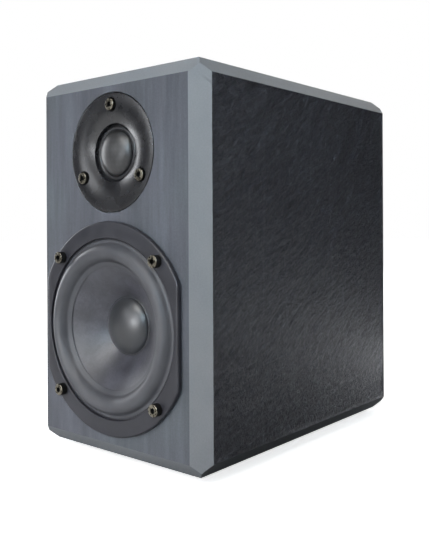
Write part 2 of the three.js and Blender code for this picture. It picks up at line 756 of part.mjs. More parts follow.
const poles = [["red", 1, finishes.redPlastic], ["black", -1, finishes.blackPlastic]];
for (const [colour, side, plastic] of poles) {
  const x = (side * terminal.spacing) / 2;
  const nutBack = depth;
  const bore = post.shank + RUNNING / 2;
  const washer = ring(clampWasher.radius, bore, washerFront, washerFront + clampWasher.thickness, SMALL);
  piece(`binding_post_${colour}`, bindingPost(), finishes.brass, x, 0, postZ);
  piece(`clamp_washer_${colour}`, washer, finishes.brass, x, 0, postZ);
  piece(`terminal_knob_${colour}`, terminalKnob(), plastic, x, 0, postZ);
  const hexNut = cut(rod(nut.radius, nutBack - nut.height, nutBack, 6),
    rod(bore, nutBack - nut.height - 1, nutBack + 1, SMALL));
  piece(`post_nut_${colour}`, hexNut, finishes.zincSteel, x, 0, postZ);
}

// ---- crossover on the bottom panel

const boardBack = rearInside - board.fromRear;
const boardFront = boardBack - board.depth;
const boardTop = insideFloor + SEAT_GAP + board.thickness;
const onBoard = boardTop + SEAT_GAP;

function upright(radius, bore, tall) {
  return ring(radius, bore, 0, tall, MEDIUM).rotateX(Math.PI / 2).translate(0, 0, onBoard);
}

const boardEdge = board.width / 2;
const boardSolid = block(-boardEdge, boardEdge, boardFront, boardBack, insideFloor + SEAT_GAP, boardTop);
const wooferChokeX = 2 + wooferChoke.radius - boardEdge;
const tweeterChokeX = boardEdge - tweeterChoke.radius - 2;
const tweeterChokeY = boardBack - tweeterChoke.radius - 3;
const capacitorZ = (capacitor) => onBoard + capacitor.radius;
const largeSolid = rod(largeCapacitor.radius, 0, largeCapacitor.length);
const largeX = boardEdge - largeCapacitor.radius - 2;
const smallSolid = rod(smallCapacitor.radius, 0, smallCapacitor.length);
const smallX = largeX - largeCapacitor.radius - smallCapacitor.radius - 3;
const resistorSolid = block(0, resistor.length, -resistor.width, 0, onBoard, onBoard + resistor.height);
piece("crossover_board", boardSolid, finishes.circuitBoard);
piece("woofer_choke", upright(wooferChoke.radius, wooferChoke.bore, wooferChoke.height), finishes.copper,
  wooferChokeX, boardFront + wooferChoke.radius + 3);
piece("tweeter_choke", upright(tweeterChoke.radius, tweeterChoke.bore, tweeterChoke.height), finishes.copper,
  tweeterChokeX, tweeterChokeY);
piece("large_capacitor", largeSolid, finishes.filmCase, largeX, boardFront + 4, capacitorZ(largeCapacitor));
piece("small_capacitor", smallSolid, finishes.filmCase, smallX, boardFront + 4, capacitorZ(smallCapacitor));
piece("power_resistor", resistorSolid, finishes.ceramic, 3 - boardEdge, boardBack - 4);

// Damping wool against the left wall, clear of the drivers and the board.
const woolFloor = insideFloor + wool.edge + 14;
piece("damping_pad",
  block(SEAT_GAP - innerHalfWidth, wool.thickness - innerHalfWidth, rearInside - wool.edge - wool.width,
    rearInside - wool.edge, woolFloor, Math.min(woolFloor + wool.height, insideTop - 2)),
  finishes.wool);

export default speaker;
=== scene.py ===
"""The looks of a two-way bookshelf loudspeaker in slate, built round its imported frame.

The row frame is in metres: -Y is where the drivers face, +X is to the listener's right and +Z is up.
Pieces are shaped in millimetres round their own axis, and set in place in metres at the end.
"""
import math

import bmesh
import bpy
from mathutils import Matrix, Vector, noise
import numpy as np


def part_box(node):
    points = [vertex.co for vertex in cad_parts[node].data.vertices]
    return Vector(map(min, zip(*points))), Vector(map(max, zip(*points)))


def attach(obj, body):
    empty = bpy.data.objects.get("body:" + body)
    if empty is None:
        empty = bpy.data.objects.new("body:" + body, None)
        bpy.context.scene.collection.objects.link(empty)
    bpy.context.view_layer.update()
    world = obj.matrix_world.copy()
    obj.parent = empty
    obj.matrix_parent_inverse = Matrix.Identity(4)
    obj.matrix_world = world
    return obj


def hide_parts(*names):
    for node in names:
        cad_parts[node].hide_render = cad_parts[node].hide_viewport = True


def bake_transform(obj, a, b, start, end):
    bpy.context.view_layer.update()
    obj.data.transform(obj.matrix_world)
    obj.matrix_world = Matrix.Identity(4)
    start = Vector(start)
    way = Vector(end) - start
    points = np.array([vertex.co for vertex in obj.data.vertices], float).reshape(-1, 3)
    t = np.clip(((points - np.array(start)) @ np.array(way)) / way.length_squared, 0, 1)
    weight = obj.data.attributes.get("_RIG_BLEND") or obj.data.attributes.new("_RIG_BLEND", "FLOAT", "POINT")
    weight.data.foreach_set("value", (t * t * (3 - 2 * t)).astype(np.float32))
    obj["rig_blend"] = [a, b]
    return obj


MM = 0.001
FULL_TURN = math.tau
MIX_FIRST, MIX_SECOND, MIX_RESULT = 6, 7, 2  # a Mix node's sockets for colours

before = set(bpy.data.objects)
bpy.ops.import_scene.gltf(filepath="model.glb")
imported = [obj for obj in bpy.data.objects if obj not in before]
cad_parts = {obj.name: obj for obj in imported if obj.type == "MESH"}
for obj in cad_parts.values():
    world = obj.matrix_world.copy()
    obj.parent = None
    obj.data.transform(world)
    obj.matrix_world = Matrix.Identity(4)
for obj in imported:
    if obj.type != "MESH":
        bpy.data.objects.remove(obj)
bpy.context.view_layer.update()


# -------- places, from the frame

def middle(node):
    """The middle of the box round a node."""
    low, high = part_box(node)
    return (low + high) / 2


front_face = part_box("front_baffle")[0].y
rear_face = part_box("rear_panel")[1].y
right_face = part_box("right_side_panel")[1].x
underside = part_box("bottom_panel")[0].z
top_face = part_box("top_panel")[1].z

cabinet_width = 2 * right_face / MM
cabinet_depth = (rear_face - front_face) / MM
cabinet_height = (top_face - underside) / MM
cabinet_middle = Vector((0, (front_face + rear_face) / 2, (top_face + underside) / 2))
slab_thickness = (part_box("front_baffle")[1].y - front_face) / MM
CHAMFER = 9.0

woofer_place = Vector((0, front_face, middle("woofer_frame").z))
tweeter_place = Vector((0, front_face, middle("tweeter_faceplate").z))
port_place = Vector((0, rear_face, middle("port_tube").z))
terminal_place = Vector((0, rear_face, middle("terminal_plate").z))


# -------- material nodes

def add(tree, kind, inputs=(), **settings):
    """A shader node, with its settings and its inputs: values, or sockets to join to."""
    node = tree.nodes.new("ShaderNode" + kind)
    for name, value in settings.items():
        setattr(node, name, value)
    for name, value in dict(inputs).items():
        if isinstance(value, bpy.types.NodeSocket):
            tree.links.new(value, node.inputs[name])
        else:
            node.inputs[name].default_value = value
    return node


def new_group(name, inputs, outputs):
    """An empty node group. inputs and outputs map a socket's name to its kind and starting value."""
    tree = bpy.data.node_groups.new(name, "ShaderNodeTree")
    for socket_name, (kind, value) in inputs.items():
        socket = tree.interface.new_socket(socket_name, in_out="INPUT", socket_type="NodeSocket" + kind)
        if value is not None:
            socket.default_value = value
    for socket_name, kind in outputs.items():
        tree.interface.new_socket(socket_name, in_out="OUTPUT", socket_type="NodeSocket" + kind)
    return tree, tree.nodes.new("NodeGroupInput").outputs, tree.nodes.new("NodeGroupOutput")


def use_group(tree, group, **inputs):
    """A node group in this tree, with its inputs by name. An underscore stands for a space."""
    named = {name.replace("_", " "): value for name, value in inputs.items()}
    return add(tree, "Group", named, node_tree=group).outputs


def ramp(tree, value, *stops):
    """A colour ramp from (position, colour) stops."""
    node = add(tree, "ValToRGB", {"Fac": value})
    elements = node.color_ramp.elements
    while len(elements) < len(stops):
        elements.new(0.5)
    for element, (position, colour) in zip(elements, stops):
        element.position = position
        element.color = (*colour, 1.0)
    return node.outputs["Color"]


def levels(tree, value, low, high, from_low=0.0, from_high=1.0):
    """A value stretched from one span to another, which low > high turns over."""
    inputs = {"Value": value, "From Min": from_low, "From Max": from_high, "To Min": low, "To Max": high}
    return add(tree, "MapRange", inputs).outputs["Result"]


def mixed(tree, factor, first, second, **settings):
    """Two colours mixed. A Mix node has its colour sockets after those for numbers and vectors."""
    inputs = {"Factor": factor, MIX_FIRST: first, MIX_SECOND: second}
    return add(tree, "Mix", inputs, data_type="RGBA", **settings).outputs[MIX_RESULT]


def multiplied(tree, first, second):
    return mixed(tree, 1.0, first, second, blend_type="MULTIPLY")


def noise_of(tree, vector, scale, detail=4.0, roughness=0.55, distortion=0.0):
    inputs = {"Vector": vector, "Scale": scale, "Detail": detail, "Roughness": roughness,
              "Distortion": distortion}
    return add(tree, "TexNoise", inputs).outputs["Fac"]


def wave_of(tree, vector, scale, direction="X"):
    inputs = {"Vector": vector, "Scale": scale}
    return add(tree, "TexWave", inputs, bands_direction=direction).outputs["Fac"]


def bump_of(tree, height, strength, distance):
    inputs = {"Strength": strength, "Distance": distance, "Height": height}
    return add(tree, "Bump", inputs).outputs["Normal"]


def grey(shade):
    return (shade, shade, shade)


def object_coordinates(tree, scale=(1, 1, 1), turn=(0, 0, 0), centre=(0, 0, 0)):
    """Object coordinates, moved so that centre is the origin, then turned, then stretched."""
    here = add(tree, "TexCoord").outputs["Object"]
    moved = add(tree, "VectorMath", {0: here, 1: centre}, operation="SUBTRACT").outputs["Vector"]
    turned = add(tree, "Mapping", {"Vector": moved, "Rotation": turn}).outputs["Vector"]
    return add(tree, "Mapping", {"Vector": turned, "Scale": scale}).outputs["Vector"]


def make_drift():
    """Two colours drifting into each other in soft patches."""
    tree, given, result = new_group(
        "colour_drift",
        {"Vector": ("Vector", None), "Scale": ("Float", 30.0), "Detail": ("Float", 4.0),
         "Low": ("Float", 0.35), "High": ("Float", 0.65),
         "Colour A": ("Color", None), "Colour B": ("Color", None)},
        {"Color": "Color", "Mask": "Float"})
    patches = noise_of(tree, given["Vector"], given["Scale"], given["Detail"], 0.5)
    limits = {"Value": patches, "From Min": given["Low"], "From Max": given["High"]}
    mask = add(tree, "MapRange", limits, interpolation_type="SMOOTHSTEP").outputs["Result"]
    colour = mixed(tree, mask, given["Colour A"], given["Colour B"])
    tree.links.new(colour, result.inputs["Color"])
    tree.links.new(mask, result.inputs["Mask"])
    return tree


def make_grain():
    """A fine even grain as a height, and as a bumped normal."""
    tree, given, result = new_group(
        "fine_grain",
        {"Vector": ("Vector", None), "Scale": ("Float", 2000.0), "Detail": ("Float", 3.0),
         "Depth": ("Float", 0.00005), "Strength": ("Float", 0.3)},
        {"Height": "Float", "Normal": "Vector"})
    cells = noise_of(tree, given["Vector"], given["Scale"], given["Detail"], 0.5)
    tree.links.new(cells, result.inputs["Height"])
    tree.links.new(bump_of(tree, cells, given["Strength"], given["Depth"]), result.inputs["Normal"])
    return tree


drift_group = make_drift()
grain_group = make_grain()


def drifted(tree, here, first, second, scale, **inputs):
    """Two close shades in soft patches."""
    colours = {"Colour_A": (*first, 1), "Colour_B": (*second, 1)}
    return use_group(tree, drift_group, Vector=here, Scale=scale, **colours, **inputs)


def new_material(name, **sockets):
    """A material with one Principled BSDF, whose sockets are set by name."""
    material = bpy.data.materials.new(name)
    material.use_nodes = True
    shader = material.node_tree.nodes["Principled BSDF"]
    for socket_name, value in sockets.items():
        shader.inputs[socket_name.replace("_", " ")].default_value = value
    return material, material.node_tree, shader


def join(tree, shader, colour, normal, roughness=None):
    tree.links.new(colour, shader.inputs["Base Color"])
    if roughness:
        tree.links.new(roughness, shader.inputs["Roughness"])
    tree.links.new(normal, shader.inputs["Normal"])


def simple_finish(name, dark, light, roughness, metallic=0.0, drift=60.0, grain=1800.0, strength=0.25,
                  depth=0.00004, spread=0.08, **sockets):
    """Two close shades in soft patches, an uneven gloss and a fine grain: paint, plastic, rubber or metal."""
    material, tree, shader = new_material(name, Metallic=metallic, **sockets)
    here = object_coordinates(tree)
    shades = drifted(tree, here, dark, light, drift)
    surface = use_group(tree, grain_group, Vector=here, Scale=grain, Depth=depth, Strength=strength)
    gloss = levels(tree, shades["Mask"], roughness - spread / 2, roughness + spread / 2)
    join(tree, shader, shades["Color"], surface["Normal"], gloss)
    return material


# -------- slate

def honed_slate():
    """Rubbed flat, blue grey, with soft bands and fine streaks that run up the baffle."""
    material, tree, shader = new_material("honed_slate")
    here = object_coordinates(tree)
    bands = noise_of(tree, object_coordinates(tree, scale=(60, 60, 8)), 1.0, 5.0, 0.6)
    streaks = noise_of(tree, object_coordinates(tree, scale=(230, 230, 13)), 1.0, 6.0, 0.65)
    flecks = noise_of(tree, here, 1500.0, 2.0)
    shades = drifted(tree, here, (0.078, 0.082, 0.099), (0.077, 0.087, 0.099), 17.0, Low=0.3, High=0.7)
    colour = multiplied(tree, shades["Color"], ramp(tree, bands, (0.33, grey(0.74)), (0.66, grey(1.26))))
    colour = multiplied(tree, colour, ramp(tree, streaks, (0.34, grey(0.84)), (0.66, grey(1.16))))
    colour = multiplied(tree, colour, ramp(tree, flecks, (0.4, grey(0.93)), (0.62, grey(1.07))))
    height = add(tree, "Math", {0: streaks, 1: flecks}, operation="ADD").outputs["Value"]
    gloss = levels(tree, bands, 0.58, 0.48, 0.3, 0.7)
    join(tree, shader, colour, bump_of(tree, height, 0.25, 0.0001), gloss)
    return material


def cleft_slate(name, turn):
    """Split along its layers: nearly black, with pale specks, faint veins, a rough tooth, and raised ledges
    that are paler, partly in their own tone and partly as painted highlight.
    """
    material, tree, shader = new_material(name)
    here = object_coordinates(tree)
    layers = noise_of(tree, object_coordinates(tree, scale=(380, 380, 130), turn=turn), 1.0, 6.0, 0.7)
    veins = noise_of(tree, object_coordinates(tree, scale=(330, 330, 14)), 1.0, 3.0)
    tooth = noise_of(tree, here, 560.0, 5.0, 0.7)
    shades = drifted(tree, here, (0.038, 0.038, 0.047), (0.049, 0.050, 0.059), 24.0, Detail=6.0, Low=0.32,
                     High=0.7)
    # The raised ledges are made paler: partly the layers' own tone, partly a painted highlight on their
    # crests.
    split = ramp(tree, layers, (0.36, grey(0.55)), (0.62, grey(1.5)), (0.72, grey(2.4)))
    specks = ramp(tree, tooth, (0.3, grey(0.75)), (0.62, grey(1.1)), (0.76, grey(2.6)))
    colour = multiplied(tree, shades["Color"], split)
    colour = multiplied(tree, colour, ramp(tree, veins, (0.58, grey(1.0)), (0.76, grey(1.8))))
    colour = multiplied(tree, colour, specks)
    height = add(tree, "Math", {0: layers, 1: 2.5, 2: tooth}, operation="MULTIPLY_ADD").outputs["Value"]
    gloss = levels(tree, tooth, 0.54, 0.36, 0.35, 0.65)
    join(tree, shader, colour, bump_of(tree, height, 1.0, 0.001), gloss)
    return material


def ground_slate():
    """The chamfers: ground by a wheel, paler than either face and very even."""
    material, tree, shader = new_material("ground_slate")
    here = object_coordinates(tree)
    dust = noise_of(tree, here, 1300.0, 3.0)
    shades = drifted(tree, here, (0.200, 0.210, 0.224), (0.218, 0.226, 0.237), 40.0, Detail=5.0, Low=0.3,
                     High=0.7)
    colour = multiplied(tree, shades["Color"], ramp(tree, dust, (0.4, grey(0.97)), (0.62, grey(1.03))))
    gloss = levels(tree, dust, 0.66, 0.54, 0.3, 0.7)
    join(tree, shader, colour, bump_of(tree, dust, 0.1, 0.0001), gloss)
    return material


HONED = honed_slate()
CLEFT_SIDE = cleft_slate("cleft_slate_side", (math.radians(56), 0, 0))
CLEFT_FLAT = cleft_slate("cleft_slate_flat", (math.radians(90), 0, math.radians(25)))
GROUND = ground_slate()


# -------- driver and hardware finishes

def coated_cone(name, dark, light, roughness, coat):
    """Pressed, coated pulp: fibres show faintly through a satin skin."""
    material, tree, shader = new_material(name, Coat_Weight=coat, Coat_Roughness=0.40)
    here = object_coordinates(tree)
    fibres = noise_of(tree, here, 420.0, 6.0, 0.65, distortion=1.2)
    shades = drifted(tree, here, dark, light, 70.0, Detail=5.0, Low=0.3, High=0.7)
    colour = multiplied(tree, shades["Color"], ramp(tree, fibres, (0.38, grey(0.82)), (0.62, grey(1.16))))
    gloss = levels(tree, fibres, roughness + 0.08, roughness - 0.06, 0.3, 0.7)
    join(tree, shader, colour, bump_of(tree, fibres, 0.35, 0.00012), gloss)
    return material


def woven_dome():
    """Doped silk: a fine square weave under a satin coating."""
    sockets = {"Roughness": 0.5, "Coat_Weight": 1.0, "Coat_Roughness": 0.36}
    material, tree, shader = new_material("woven_dome", **sockets)
    here = object_coordinates(tree)
    across, along = wave_of(tree, here, 110.0, "X"), wave_of(tree, here, 110.0, "Z")
    weave = add(tree, "Math", {0: across, 1: along}, operation="MULTIPLY").outputs["Value"]
    colour = ramp(tree, weave, (0.0, (0.008, 0.008, 0.009)), (1.0, (0.020, 0.020, 0.021)))
    join(tree, shader, colour, bump_of(tree, weave, 0.12, 0.00005))
    return material


def wound_wire(name, centre, turn):
    """Turns of enamelled wire, lying side by side round the coil's axis, with painted shade in the grooves
    between them.
    """
    material, tree, shader = new_material(name, Metallic=0.85, Roughness=0.3, Coat_Weight=0.4)
    turns_and_groove_shade = wave_of(tree, object_coordinates(tree, centre=centre, turn=turn), 150.0)
    # Each turn runs from dark copper in the groove to bright copper on its crown: painted shade between the
    # turns.
    colour = ramp(tree, turns_and_groove_shade, (0.0, (0.12, 0.035, 0.012)), (1.0, (0.52, 0.20, 0.08)))
    join(tree, shader, colour, bump_of(tree, turns_and_groove_shade, 0.6, 0.0003))
    return material


FRAME_PAINT = simple_finish("frame_paint", (0.024, 0.024, 0.030), (0.030, 0.030, 0.037), 0.34, drift=90.0,
                            grain=1500.0, strength=0.3, depth=0.00006)
PLATE_PAINT = simple_finish("plate_paint", (0.008, 0.008, 0.010), (0.011, 0.011, 0.013), 0.27, drift=90.0,
                            grain=1500.0, strength=0.05, depth=0.00002, spread=0.03, Specular_IOR_Level=1.0)
CONE = coated_cone("cone_skin", (0.030, 0.030, 0.038), (0.060, 0.060, 0.075), 0.40, 0.7)
CAP = coated_cone("cap_skin", (0.014, 0.016, 0.019), (0.022, 0.024, 0.029), 0.33, 1.0)
RUBBER = simple_finish("surround_rubber", (0.058, 0.059, 0.067), (0.074, 0.075, 0.083), 0.44, grain=1100.0)
TWEETER_RUBBER = simple_finish("tweeter_rubber", (0.022, 0.022, 0.024), (0.030, 0.030, 0.032), 0.36,
                               grain=1600.0)
DOME = woven_dome()
BRONZE = simple_finish("antique_bronze", (0.10, 0.09, 0.07), (0.26, 0.24, 0.19), 0.32, metallic=0.95,
                       drift=700.0, spread=0.2)
# Near black, for the screws' hex sockets and the knurled sides of their heads: painted shade where these sit
# in shadow.
PAINTED_SHADE_SOCKET = simple_finish("painted_shade_socket", (0.008, 0.008, 0.007), (0.014, 0.013, 0.012), 0.5, metallic=0.5)
ZINC = simple_finish("zinc_plate", (0.52, 0.53, 0.54), (0.62, 0.63, 0.63), 0.3, metallic=1.0, drift=400.0)
GOLD = simple_finish("gold_plate", (0.80, 0.55, 0.20), (0.86, 0.62, 0.27), 0.22, metallic=1.0, drift=300.0,
                     strength=0.1)
BLACK_PLASTIC = simple_finish("black_plastic", (0.016, 0.016, 0.017), (0.022, 0.022, 0.023), 0.45,
                              grain=1400.0, strength=0.4, depth=0.00008)
RED_PLASTIC = simple_finish("red_plastic", (0.36, 0.012, 0.012), (0.42, 0.018, 0.016), 0.28)
SOFT_RUBBER = simple_finish("soft_rubber", (0.014, 0.014, 0.014), (0.022, 0.022, 0.022), 0.72, grain=1200.0,
                            strength=0.5)
FERRITE = simple_finish("ferrite", (0.030, 0.028, 0.027), (0.042, 0.040, 0.038), 0.7, grain=900.0,
                        strength=0.6)
KRAFT = simple_finish("kraft_paper", (0.26, 0.17, 0.08), (0.34, 0.23, 0.12), 0.75, grain=1300.0, strength=0.5)
BOARD = simple_finish("circuit_board", (0.012, 0.055, 0.022), (0.02, 0.075, 0.032), 0.35, drift=120.0)
FILM = simple_finish("film_case", (0.48, 0.28, 0.05), (0.58, 0.36, 0.08), 0.32)
CERAMIC = simple_finish("ceramic_body", (0.56, 0.55, 0.50), (0.66, 0.65, 0.60), 0.8, grain=1000.0,
                        strength=0.6)
WOOL = simple_finish("damping_wool", (0.58, 0.57, 0.52), (0.72, 0.71, 0.66), 0.95, drift=140.0, grain=500.0,
                     strength=1.0, depth=0.001, Sheen_Weight=0.5)


# -------- making meshes

def move(shape, x, y, z):
    bmesh.ops.translate(shape, verts=shape.verts, vec=(x, y, z))


def turn_about(shape, axis, angle):
    bmesh.ops.rotate(shape, verts=shape.verts, cent=(0, 0, 0), matrix=Matrix.Rotation(angle, 3, axis))


def profile_turned(profile, steps=160, rounded=None):
    """A piece turned about the Y axis from a line of (radius, depth) points in millimetres.

    rounded maps a point's place in the line to the radius that its corner is rounded by.
    A line that ends off the axis is closed on itself.
    """
    shape = bmesh.new()
    verts = [shape.verts.new((radius, depth, 0)) for radius, depth in profile]
    for near, far in zip(verts, verts[1:]):
        shape.edges.new((near, far))
    if profile[0][0] > 0 and profile[-1][0] > 0:
        shape.edges.new((verts[-1], verts[0]))
    for index, radius in (rounded or {}).items():
        bmesh.ops.bevel(shape, geom=[verts[index]], offset=radius * 0.6, segments=4, profile=0.5,
                        affect="VERTICES", material=-1)
    bmesh.ops.spin(shape, geom=shape.verts[:] + shape.edges[:], cent=(0, 0, 0), axis=(0, 1, 0),
                   angle=FULL_TURN, steps=steps, use_merge=True)
    bmesh.ops.remove_doubles(shape, verts=shape.verts, dist=1e-4)
    bmesh.ops.recalc_face_normals(shape, faces=shape.faces)
    return shape


def back_of(front, thickness):
    """The line behind a front line of points, from its outer end to its inner end."""
    return [(radius, depth + thickness) for radius, depth in reversed(front)]


def bar_along_y(radius, start, end, segments=64, place=(0, 0)):
    """A round bar from one depth to another, at place in X and Z. With six segments it is hexagonal."""
    shape = bmesh.new()
    bmesh.ops.create_cone(shape, cap_ends=True, segments=segments, radius1=radius, radius2=radius,
                          depth=end - start)
    turn_about(shape, "X", -math.pi / 2)
    move(shape, place[0], (start + end) / 2, place[1])
    return shape


def box_shape(low, high):
    shape = bmesh.new()
    bmesh.ops.create_cube(shape, size=1.0)
    low, high = Vector(low), Vector(high)
    bmesh.ops.scale(shape, verts=shape.verts, vec=high - low)
    move(shape, *(low + high) / 2)
    return shape


def bevel_edges(shape, edges, width, segments=2):
    bmesh.ops.bevel(shape, geom=list(edges), offset=width, segments=segments, profile=0.5, affect="EDGES",
                    material=-1)


def loose_object(name, shape, *materials):
    """An object in millimetres from a bmesh, which is used up."""
    mesh = bpy.data.meshes.new(name)
    for material in materials:
        mesh.materials.append(material)
    shape.to_mesh(mesh)
    shape.free()
    obj = bpy.data.objects.new(name, mesh)
    bpy.context.scene.collection.objects.link(obj)
    return obj


def carve(obj, *cutters):
    """Cuts each cutter's shape out of obj. The cut walls take obj's last material."""
    last = len(obj.data.materials) - 1
    tools = []
    for cutter in cutters:
        for face in cutter.faces:
            face.material_index = last
        tools.append(loose_object("cutter", cutter, *obj.data.materials))
        modifier = obj.modifiers.new("cut", "BOOLEAN")
        modifier.solver = "EXACT"
        modifier.object = tools[-1]
    evaluated = obj.evaluated_get(bpy.context.evaluated_depsgraph_get())
    mesh = bpy.data.meshes.new_from_object(evaluated)
    obj.modifiers.clear()
    old, obj.data = obj.data, mesh
    bpy.data.meshes.remove(old)
    for tool in tools:
        bpy.data.objects.remove(tool)


def smooth_by_angle(mesh, degrees):
    """Smooth shading, with edges kept sharp where two faces meet at more than this angle."""
    shape = bmesh.new()
    shape.from_mesh(mesh)
    for face in shape.faces:
        face.smooth = True
    for edge in shape.edges:
        edge.smooth = len(edge.link_faces) == 2 and edge.calc_face_angle(0) < math.radians(degrees)
    shape.to_mesh(mesh)
    shape.free()


def set_in_place(obj, place, body, replaced, angle=32):
    """Turns a piece in millimetres round its own axis into a finished one in the row frame."""
    obj.data.transform(Matrix.Translation(place) @ Matrix.Scale(MM, 4))
    smooth_by_angle(obj.data, angle)
    if body:
        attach(obj, body)
    if replaced:
        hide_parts(*replaced)
    return obj


def piece(name, shape, place, body, material, replaced=(), angle=32):
    """A finished piece straight from a bmesh in millimetres."""
    return set_in_place(loose_object(name, shape, material), place, body, replaced, angle)


def bend_round_axis(obj, moving_body, axis_place, fixed_radius, moving_radius):
    """A ring that gives: one edge stays with the cabinet and the other rides on the diaphragm."""
    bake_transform(obj, "cabinet", moving_body, start=axis_place, end=axis_place + Vector((0, MM, 0)))
    weights = obj.data.attributes["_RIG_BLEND"].data
    for vert in obj.data.vertices:
        radius = math.hypot(vert.co.x - axis_place.x, vert.co.z - axis_place.z) / MM
        share = min(1.0, max(0.0, (fixed_radius - radius) / (fixed_radius - moving_radius)))
        weights[vert.index].value = share * share * (3 - 2 * share)


def on_circle(radius, count, first_degrees):
    """Places in X and Z, evenly spaced round a circle from an angle above +X."""
    angles = [math.radians(first_degrees + 360 / count * i) for i in range(count)]
    return [(radius * math.cos(angle), radius * math.sin(angle)) for angle in angles]


# -------- cabinet

RELIEF_FADE = 2.0  # from a chamfer's edge inwards, over which the relief grows to its full depth
FINE_RELIEF = 0.95  # between the points of a side's relief
COARSE_RELIEF = 1.5
SHADOW_LINE = 0.4  # clearance round the boss behind the tweeter's plate
PAST = 1.0  # how far a cutter reaches past what it cuts


def cleft_relief(u, v, half, seed):
    """Depth of the split surface under the slab's flat face, in millimetres, or less than 0 above it.

    Thin ledges slant upwards as u grows, and are deepest where u is low and v is high.
    """
    lean = math.radians(38 + 14 * (u / half.x))
    along = u * math.cos(lean) + v * math.sin(lean)
    across = v * math.cos(lean) - u * math.sin(lean)
    wander = 3.0 * noise.noise(Vector((u / 26, v / 26, seed + 5)))
    height_share = 0.5 + 0.5 * v / half.y
    strength = 0.45 + 0.75 * height_share * (0.75 - 0.45 * u / half.x)
    layers = 3.2 * noise.fractal(Vector((along / 46, (across + wander) / 11, seed)), 0.9, 2.1, 5)
    step = layers - math.floor(layers)
    ledge = math.floor(layers) + min(1.0, max(0.0, (step - 0.3) * 4))
    ridges = noise.noise(Vector((along / 7, (across + wander) / 1.9, seed + 7)))
    ripple = noise.fractal(Vector((u / 5, v / 3.2, seed + 3)), 0.8, 2.2, 2)
    return 0.2 + strength * (0.5 - 0.3 * ledge - 0.3 * ridges - 0.3 * ripple)


def mitred_slab(across, along, spacing=None, seed=0.0):
    """A slab facing +Z from the XY plane, mitred to meet its neighbours at half the chamfer."""
    shape = bmesh.new()
    face_half = Vector((across / 2 - CHAMFER, along / 2 - CHAMFER))
    counts = [max(1, round(2 * half / spacing)) if spacing else 1 for half in face_half]
    bmesh.ops.create_grid(shape, x_segments=counts[0], y_segments=counts[1], size=1.0)
    bmesh.ops.scale(shape, verts=shape.verts, vec=(*face_half, 1))
    if spacing:
        for vert in shape.verts:
            edge = min(face_half.x - abs(vert.co.x), face_half.y - abs(vert.co.y))
            fade = min(1.0, edge / RELIEF_FADE)
            vert.co.z = -fade * cleft_relief(vert.co.x, vert.co.y, face_half, seed)
    outer_face = set(shape.faces)
    previous = face_half
    for depth in (CHAMFER / 2, slab_thickness):
        half = Vector((across / 2 - depth, along / 2 - depth))
        rim = [edge for edge in shape.edges if edge.is_boundary]
        grown = bmesh.ops.extrude_edge_only(shape, edges=rim)["geom"]
        verts = [item for item in grown if isinstance(item, bmesh.types.BMVert)]
        bmesh.ops.scale(shape, verts=verts, vec=(half.x / previous.x, half.y / previous.y, 1))
        for vert in verts:
            vert.co.z = -depth
        previous = half
    bmesh.ops.edgeloop_fill(shape, edges=[edge for edge in shape.edges if edge.is_boundary])
    for face in shape.faces:
        face.material_index = int(face not in outer_face)
    bmesh.ops.recalc_face_normals(shape, faces=shape.faces)
    return shape


def slab_object(name, across, along, outward, up, distance, face, spacing=None, seed=0.0):
    """A mitred slab in millimetres from the cabinet's middle, facing outward, with its length along up."""
    shape = mitred_slab(across, along, spacing, seed)
    outward, up = Vector(outward), Vector(up)
    turn = Matrix((up.cross(outward), up, outward)).transposed().to_4x4()
    bmesh.ops.transform(shape, verts=shape.verts, matrix=Matrix.Translation(outward * distance) @ turn)
    return loose_object(name, shape, face, GROUND)


def above_middle(place):
    """How far a place is above the cabinet's middle, in millimetres."""
    return (place.z - cabinet_middle.z) / MM


def side_walls():
    """Both sides, the lid and the base, split along their layers and each with its own relief."""
    width, depth, height = cabinet_width, cabinet_depth, cabinet_height
    left, right, rearward, up, down = (-1, 0, 0), (1, 0, 0), (0, 1, 0), (0, 0, 1), (0, 0, -1)
    upright = (depth, height)
    level = (width, depth)
    walls = (
        ("left_side", "left_side_panel", upright, left, up, width / 2, CLEFT_SIDE, FINE_RELIEF, 3.7),
        ("right_side", "right_side_panel", upright, right, up, width / 2, CLEFT_SIDE, FINE_RELIEF, 11.3),
        ("lid", "top_panel", level, up, rearward, height / 2, CLEFT_FLAT, COARSE_RELIEF, 21.9),
        ("base", "bottom_panel", level, down, rearward, height / 2, CLEFT_FLAT, COARSE_RELIEF, 31.1),
    )
    for name, node, size, outward, along, distance, face, spacing, seed in walls:
        panel = slab_object(name, *size, outward, along, distance, face, spacing, seed)
        set_in_place(panel, cabinet_middle, "cabinet", [node], angle=40)


def honed_baffle():
    """The honed front, cut for the woofer's basket and the tweeter's plate and boss."""
    front = -cabinet_depth / 2
    through = front + slab_thickness + PAST
    woofer_at = (0, above_middle(woofer_place))
    tweeter_at = (0, above_middle(tweeter_place))
    panel = slab_object("baffle", cabinet_width, cabinet_height, (0, -1, 0), (0, 0, 1), -front, HONED)
    carve(
        panel,
        bar_along_y(WOOFER_HOLE, front - PAST, through, 128, woofer_at),
        bar_along_y(PLATE_RADIUS + REBATE_GAP, front - PAST, front + PLATE_THICKNESS, 192, tweeter_at),
        bar_along_y(BOSS_RADIUS + SHADOW_LINE, front, through, 96, tweeter_at),
    )
    set_in_place(panel, cabinet_middle, "cabinet", ["front_baffle"], angle=25)


def rear_slab():
    """The rear slab, cut for the port's mouth and for what stands behind the terminal plate."""
    outside = cabinet_depth / 2
    inside = outside - slab_thickness - PAST
    half_width, half_height = 33, 16
    terminal_z = above_middle(terminal_place)
    panel = slab_object("back", cabinet_width, cabinet_height, (0, 1, 0), (0, 0, 1), outside, CLEFT_FLAT,
                        COARSE_RELIEF, 41.5)
    carve(
        panel,
        bar_along_y(PORT_MOUTH + PORT_ROOM, inside, outside + PAST, 96, (0, above_middle(port_place))),
        box_shape((-half_width, inside, terminal_z - half_height),
                  (half_width, outside + PAST, terminal_z + half_height)),
    )
    set_in_place(panel, cabinet_middle, "cabinet", ["rear_panel"], angle=40)


# -------- woofer

